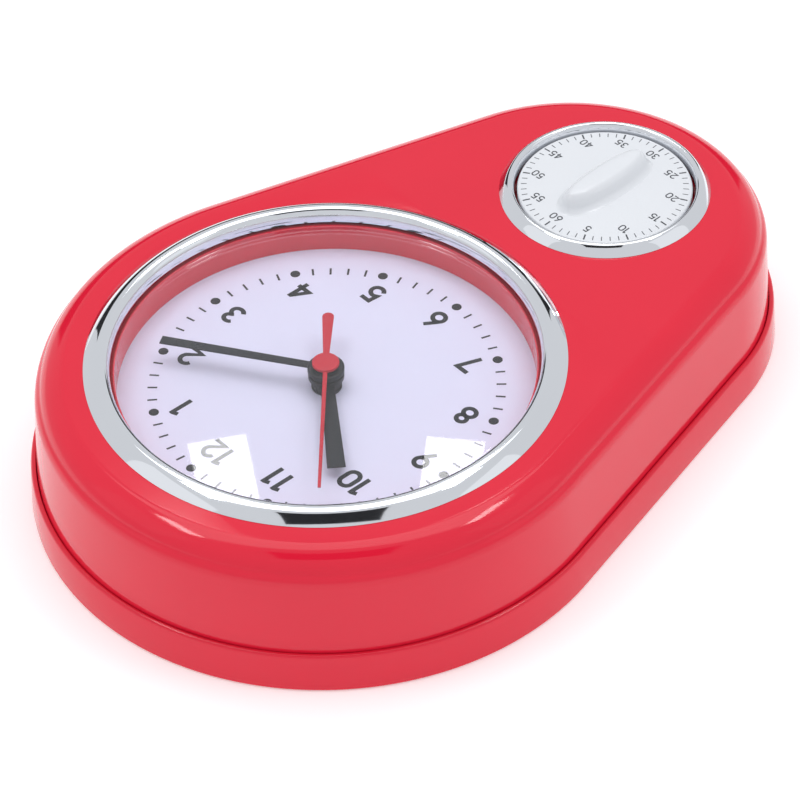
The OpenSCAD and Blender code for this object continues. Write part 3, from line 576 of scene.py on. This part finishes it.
def make_dial():
    """The dial's disc, and its dots, ticks and hour numerals as one printed piece."""
    shape = Shape()
    radius = (dial_high.x - dial_low.x) / 2
    lathe(shape, clock, [(3.4, dial_low.z), (radius - 0.2, dial_low.z), (radius, dial_low.z + 0.2),
                         (radius, dial_height - 0.2), (radius - 0.2, dial_height), (3.45, dial_height),
                         (3.4, dial_height - 0.05)], 160)
    piece("dial_disc", shape, "housing", "dial_white", DIAL, "dial_plate")

    ink = Shape()
    dot, dot_ring, tick, tick_width = 1.47, 50.0, 2.8, 0.62
    numeral_height, numeral_ring = 7.7, 41.8
    for minute in range(60):
        turn = math.radians(90 - 6 * minute)
        way = Vector((math.cos(turn), math.sin(turn)))
        if minute % 5 == 0:
            make_disc(ink, clock + dot_ring * way, dot, dial_height)
        else:
            ends = [clock + (dot_ring - 0.1 + s * tick / 2) * way for s in (-1, 1)]
            stroke(ink, ends, tick_width, lambda p: (p.x, p.y, dial_height))
    for hour in range(1, 13):
        turn = math.radians(90 - 30 * hour)
        ring = numeral_ring - (1.2 if hour > 9 else 0)
        spot = clock + ring * Vector((math.cos(turn), math.sin(turn)))
        write_number(ink, str(hour), numeral_height,
                     lambda p, spot=spot: (spot.x + p.x, spot.y + p.y, dial_height))
    piece("dial_print", ink, "housing", "hand_black", INK, smooth=False)


# --- Hands ---
def blade(length, root, tip, start=0.0):
    """The outline of a straight hand, from its width at the root to its width at the tip."""
    return [(-root / 2, start), (root / 2, start), (tip / 2, length), (-tip / 2, length)]


def boss(shape, radius, bore, low, high, groove=0.15):
    """A bored hub with a rounded edge and a shallow groove inside its rim."""
    profile = [(bore, low), (radius - 0.1, low), (radius, low + 0.1), (radius, high - 0.14),
               (radius - 0.05, high - 0.05), (radius - 0.14, high)]
    profile += [(radius - 0.75, high), (radius - 0.85, high - groove), (radius - 1.5, high - groove),
                (radius - 1.6, high), (bore, high)]
    lathe(shape, clock, profile, 72)


def make_hands():
    """The hour and minute hands on their bored hubs, and the second hand with its cap and tail."""
    hour_top, minute_top, second_top = (
        node_box(name)[1].z for name in ("hour_hand", "minute_hand", "second_hand"))
    thickness = 0.5

    shape = Shape()
    base = hour_top - 1.6
    prism(shape, turned(blade(38, 3.9, 5.2, 3.4), hour_turn, clock), base, base + thickness, 0.12)
    boss(shape, 5.2, 2.55, base, hour_top)
    lathe(shape, clock, [(2.55, base - 0.4), (3.3, base - 0.4), (3.3, base), (2.55, base)], 48)
    piece("hour_blade", shape, "hour", "hand_black", HAND, "hour_hand")

    shape = Shape()
    base = minute_top - 0.7
    prism(shape, turned(blade(49.3, 2.6, 3.2, 2.4), minute_turn, clock), base, base + thickness, 0.12)
    boss(shape, 5.3, 1.6, base - 0.9, minute_top)
    lathe(shape, clock, [(1.6, base - 1.3), (2.35, base - 1.3), (2.35, base - 0.9), (1.6, base - 0.9)], 48)
    piece("minute_blade", shape, "minute", "hand_black", HAND, "minute_hand")

    shape = Shape()
    base = second_top - 0.9
    tail, tail_end = 21.5, 1.7
    prism(shape, turned(blade(50.8, 1.3, 0.9), second_turn, clock), base, base + thickness, 0.1)
    end = arc((0, tail_end - tail), tail_end, tail_end, 180, 360, 20)
    prism(shape, turned([(0.7, 0), (-0.7, 0)] + end, second_turn, clock), base, base + thickness, 0.1)
    cap = rounded([(3.7, base, 0), (3.9, base, 0.1), (3.9, base + 0.9, 0.3), (0, base + 0.9, 0)], 5)
    lathe(shape, clock, [(0, base)] + cap, 72)
    lathe(shape, clock, [(0.8, base - 0.6), (1.45, base - 0.6), (1.45, base), (0.8, base)], 40)
    piece("second_pointer", shape, "second", "hand_red", HAND_RED, "second_hand")


def make_nut():
    """The ridged nut that holds the movement to the dial."""
    low, high = node_box("mounting_nut")
    shape = Shape()
    radius, bore, ridges, groove_share = 4.2, 3.35, 24, 0.93
    count = 4 * ridges
    rings = []
    for z, share in ((low.z, 0.94), (low.z + 0.25, 1.0), (high.z - 0.3, 1.0), (high.z, 0.92)):
        ring = []
        for i in range(count):
            t = 2 * math.pi * i / count
            reach = radius * share * (1.0 if i % 4 < 2 else groove_share)
            ring.append((clock.x + reach * math.cos(t), clock.y + reach * math.sin(t), z))
        rings.append(shape.ring(ring))
    rings += [shape.ring(circle(clock, bore, z, count)) for z in (high.z, low.z)]
    shape.skin(rings, closed=True)
    piece("ridged_nut", shape, "housing", "movement_black", BLACK, "mounting_nut", smooth=False)


# --- Timer knob ---
SKIRT_EDGE = knob_radius - 0.8


def skirt_height(radius):
    """Height of the knob's skirt at a distance from its axis."""
    share = min(1.0, max(0.0, 1 - radius / SKIRT_EDGE))
    return knob_rim + 0.8 * math.sin(share * math.pi / 2)


def make_knob():
    """The timer's knob, its skirt and grip in one piece, with its minute print as another."""
    shape = Shape()
    underside, hub_foot = knob_rim - 3.2, knob_rim - 5.2
    edge = curve((knob_radius - 0.5, underside), (knob_radius, knob_rim - 3.0),
                 (knob_radius, knob_rim - 1.2), 6)
    edge += curve((knob_radius, knob_rim - 0.9), (knob_radius, knob_rim), (SKIRT_EDGE, knob_rim), 8)
    skirt = [(SKIRT_EDGE * (1 - i / 20), skirt_height(SKIRT_EDGE * (1 - i / 20))) for i in range(1, 21)]
    lathe(shape, timer, [(0, underside)] + edge + skirt, 160, closed=False)
    lathe(shape, timer, [(0, hub_foot), (5, hub_foot), (5, underside), (0, underside)], 48, closed=False)

    top = knob_high.z
    sections = smooth_line([(9.2, 18.6, knob_rim + 0.05), (7.2, 17.6, knob_rim + 0.75),
                            (5.9, 16.8, knob_rim + 1.8), (5.1, 16.2, knob_rim + 3.2),
                            (4.3, 15.4, knob_rim + 4.6), (3.2, 14.3, top - 0.5),
                            (1.9, 12.4, top - 0.12), (0.6, 10.2, top - 0.02), (0.05, 9.0, top - 0.01)], 5)
    rings = []
    for across, along, z in sections:
        ring = []
        for i in range(96):
            t = 2 * math.pi * i / 96
            c, s = math.cos(t), math.sin(t)
            x = max(across, 0.05) * math.copysign(abs(c) ** 0.86, c)
            y = along * math.copysign(abs(s) ** 0.92, s)
            ring.append((x, y))
        rings.append(shape.ring([(x, y, z) for x, y in turned(ring, knob_turn, timer)]))
    shape.skin(rings)
    shape.face(rings[0][::-1], flat=True)
    shape.face(rings[-1])
    piece("winding_knob", shape, "timer", "knob_white", KNOB, "timer_knob")

    ink = Shape()
    tick_middle = knob_radius - 2

    def on_skirt(spot):
        offset = spot - timer
        return spot.x, spot.y, skirt_height(offset.length) + 0.01

    for minute in range(60):
        turn = math.radians(90 + 6 * minute) + knob_turn
        way = Vector((math.cos(turn), math.sin(turn)))
        length, width = (2.2, 0.46) if minute % 5 == 0 else (1.7, 0.24)
        ends = [timer + (tick_middle + s * length / 2) * way for s in (-1, 1)]
        stroke(ink, ends, width, on_skirt)
        if minute % 5 == 0:
            centre = timer + (knob_radius - 5.6) * way

            def on_knob(p, centre=centre):
                return on_skirt(centre + Vector(turned([p], knob_turn, (0, 0))[0]))
            write_number(ink, str(minute or 60), 2.8, on_knob, 1.05)
    piece("knob_print", ink, "timer", "hand_black", KNOB_INK, smooth=False)


# --- Back: cell and hanger plate ---
def make_battery():
    """The cell: a coloured wrap and a pale band with the positive cap."""
    low, high = node_box("battery")
    radius = (high.z - low.z) / 2
    y, z = (low.y + high.y) / 2, (low.z + high.z) / 2
    length = high.x - low.x - 1.3

    def lay(profile, name, material):
        shape = Shape()
        lathe(shape, (0, 0), profile, 72, closed=True)
        for p in shape.points:
            p.xyz = (p.z, y + p.x, z + p.y)
        return piece(name, shape, "housing", "battery_wrap", material)

    start, tip, split = low.x, low.x + length, low.x + length * 0.7
    side = radius - 0.05
    body = [(0, start), (radius - 1.1, start), (radius - 0.9, start + 0.25), (radius - 0.35, start + 0.3),
            (side, start + 0.6), (side, split), (0, split)]
    band = [(0, split), (side, split), (side, tip - 0.7), (radius - 0.5, tip - 0.2), (radius - 1.4, tip),
            (2.9, tip), (2.75, tip + 0.2), (2.75, tip + 1.1), (2.5, tip + 1.3), (0, tip + 1.3)]
    wrap = lay(body, "cell_wrap", WRAP)
    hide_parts("battery")
    lay(band, "cell_band", WRAP_BAND)


def make_hanger():
    """The steel plate with the keyhole that hangs on a nail."""
    low, high = node_box("hanger_plate")
    centre = middle("hanger_plate")
    shape = Shape()
    levels = [(0.15, low.z), (0, low.z + 0.15), (0, high.z - 0.15), (0.15, high.z)]
    half = ((high.x - low.x) / 2, (high.y - low.y) / 2)
    rim = [shape.ring(rounded_square((half[0] - e, half[1] - e), 1.5, z, centre)) for e, z in levels]
    shape.skin(rim)
    slot_half, hole = 2.2, 4.5
    meet = math.asin(slot_half / hole)
    hole_line = arc((0, -3), hole, hole, 90 + math.degrees(meet), 450 - math.degrees(meet), 40)
    hole_line += arc((0, 6), slot_half, slot_half, 0, 180, 16)
    hole_rings = [shape.ring([(centre.x + x, centre.y + y, z) for x, y in hole_line]) for _, z in levels]
    shape.skin(hole_rings)
    rivet_bore = [(1.1, low.z), (1.1, high.z)]
    holes = [lathe(shape, centre + Vector((x, 0)), rivet_bore, 32, closed=False) for x in (-14, 14)]
    shape.cap(rim[0], hole_rings[0], *(h[0] for h in holes))
    shape.cap(rim[-1], hole_rings[-1], *(h[1] for h in holes))
    piece("keyhole_plate", shape, "housing", "steel", STEEL, "hanger_plate")


# --- Studio ---
def make_floor():
    """Pale paper that carries on out of the picture."""
    bpy.ops.mesh.primitive_plane_add(size=6)
    floor = bpy.context.object
    floor.name = "floor"
    floor.location.z = -0.0002
    paper = finish("floor_paper", (0.93, 0.93, 0.93, 1), 0.7, grain=300, mottle=0.004, bump=0.01)
    shader = paper.node_tree.nodes["Principled BSDF"]
    shader.inputs["Emission Color"].default_value = (1, 1, 1, 1)
    shader.inputs["Emission Strength"].default_value = 0.24
    floor.data.materials.append(paper)


def panel(name, place, target, width, height, colour, strength):
    """A flat card facing a target: glowing where strength is set, and otherwise a plain dark one."""
    bpy.ops.mesh.primitive_plane_add(size=1)
    card = bpy.context.object
    card.name = name
    card.scale = (width, height, 1)
    card.location = place
    card.rotation_euler = (Vector(target) - Vector(place)).to_track_quat("Z", "Y").to_euler()
    material = bpy.data.materials.new(name)
    material.use_nodes = True
    shader = material.node_tree.nodes["Principled BSDF"]
    shader.inputs["Base Color"].default_value = colour
    shader.inputs["Roughness"].default_value = 0.9
    shader.inputs["Emission Color"].default_value = colour
    shader.inputs["Emission Strength"].default_value = strength
    card.data.materials.append(material)
    return card


def area_light(name, place, target, width, height, power):
    data = bpy.data.lights.new(name, "AREA")
    data.shape = "RECTANGLE"
    data.size, data.size_y, data.energy = width, height, power
    lamp = bpy.data.objects.new(name, data)
    bpy.context.scene.collection.objects.link(lamp)
    lamp.location = place
    lamp.rotation_euler = (Vector(target) - Vector(place)).to_track_quat("-Z", "Y").to_euler()
    return lamp


def toward(azimuth, elevation, distance):
    """A point seen from the middle of the dial, in metres and degrees."""
    a, e = math.radians(azimuth), math.radians(elevation)
    way = Vector((math.cos(a) * math.cos(e), math.sin(a) * math.cos(e), math.sin(e)))
    return Vector((clock.x, clock.y, dial_height + 0.8)) * METRE + distance * way


CAMERA_AZIMUTH, CAMERA_ELEVATION, CAMERA_DISTANCE, CAMERA_ROLL = 141.12, 42.42, 1.1224, 1.70


def make_camera():
    """The photo's camera, looking past the dial's middle towards the middle of the picture."""
    data = bpy.data.cameras.new("camera")
    data.lens, data.sensor_width = 176.7, 36.0
    data.clip_start, data.clip_end = 0.05, 30
    data.dof.use_dof = False
    camera = bpy.data.objects.new("camera", data)
    bpy.context.scene.collection.objects.link(camera)
    aim = Vector((clock.x - 18.89, clock.y - 11.26, dial_height + 0.8)) * METRE
    stand = toward(CAMERA_AZIMUTH, CAMERA_ELEVATION, CAMERA_DISTANCE)
    back = (stand - aim).normalized()
    level = Vector((0, 0, 1)).cross(back).normalized()
    upright = back.cross(level)
    roll = math.radians(CAMERA_ROLL)
    right = level * math.cos(roll) - upright * math.sin(roll)
    camera.matrix_world = Matrix((right, back.cross(right), back)).transposed().to_4x4()
    camera.location = stand
    bpy.context.scene.camera = camera


def make_lights():
    """A bright studio with three soft boxes, dark cards for the chrome, and window-shaped reflections."""
    world = bpy.data.worlds.new("studio")
    world.use_nodes = True
    world.node_tree.nodes["Background"].inputs["Color"].default_value = (0.95, 0.97, 1.0, 1)
    world.node_tree.nodes["Background"].inputs["Strength"].default_value = 0.76
    bpy.context.scene.world = world
    centre = toward(0, 90, 0)
    area_light("top_box", toward(-40, 78, 1.7), centre, 1.7, 1.2, 9)
    area_light("left_box", toward(215, 30, 1.8), centre, 1.0, 1.0, 0.6)
    area_light("right_box", toward(60, 35, 1.8), centre, 1.0, 1.0, 0.6)
    black = (0.01, 0.01, 0.012, 1)
    white = (1, 1, 1, 1)
    panel("dark_card", toward(CAMERA_AZIMUTH, 65, 1.35), centre, 0.7, 0.42, black, 0)
    panel("back_card", toward(CAMERA_AZIMUTH + 180, 10, 1.45), centre, 1.9, 0.5, black, 0)
    windows = (("window_left", -31.1, 49.5, 0.125), ("window_right", -47.8, 49.7, 0.1))
    for name, azimuth, elevation, height in windows:
        panel(name, toward(azimuth, elevation, 1.6), centre, 0.077, height, white, 5)
    for name, offset in (("shoulder_box_left", -88), ("shoulder_box_right", 88)):
        panel(name, toward(CAMERA_AZIMUTH + offset, 60, 1.5), centre, 0.36, 0.12, white, 11)


make_floor()
make_housing()
make_cover()
make_ring("clock_ring", "clock_bezel", clock, 68.9, well_radius + 1.1, well_radius + 2, ring_low.z)
make_ring("timer_ring", "timer_bezel", timer, 31.4, pan_radius - 1.25, pan_radius - 0.15, face_height - 2.5)
make_lens()
make_dial()
make_hands()
make_nut()
make_knob()
make_battery()
make_hanger()
finish_nodes()
make_lights()
make_camera()

bpy.context.scene.view_settings.view_transform = "Standard"
bpy.context.scene.view_settings.look = "None"
